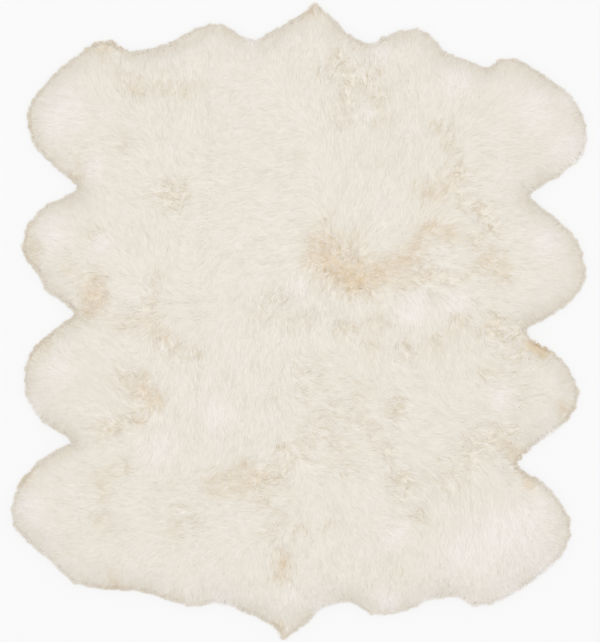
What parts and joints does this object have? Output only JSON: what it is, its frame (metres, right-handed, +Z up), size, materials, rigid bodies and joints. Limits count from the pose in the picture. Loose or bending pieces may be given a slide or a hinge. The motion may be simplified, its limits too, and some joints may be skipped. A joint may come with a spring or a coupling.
{
  "type": "sheepskin rug",
  "caption": "Large ivory sheepskin rug with deep wool, sewn from pelts in two rows, with rounded leg lobes at both sides and a pointed tip at each end.",
  "frame": {"origin": "on the floor, under the middle of the rug's outline box", "axes": "+Z up out of the wool, +Y along the rug towards its top tip, +X to the right as seen from above"},
  "size_m": [1.6478, 1.8168, 0.0604],
  "materials": {
    "wool": "matte"
  },
  "bodies": {
    "root": {"pelt_top_left": "wool", "pelt_top_middle": "wool", "pelt_top_right": "wool", "pelt_bottom_right": "wool", "pelt_bottom_middle": "wool", "pelt_bottom_left": "wool"}
  },
  "joints": []
}
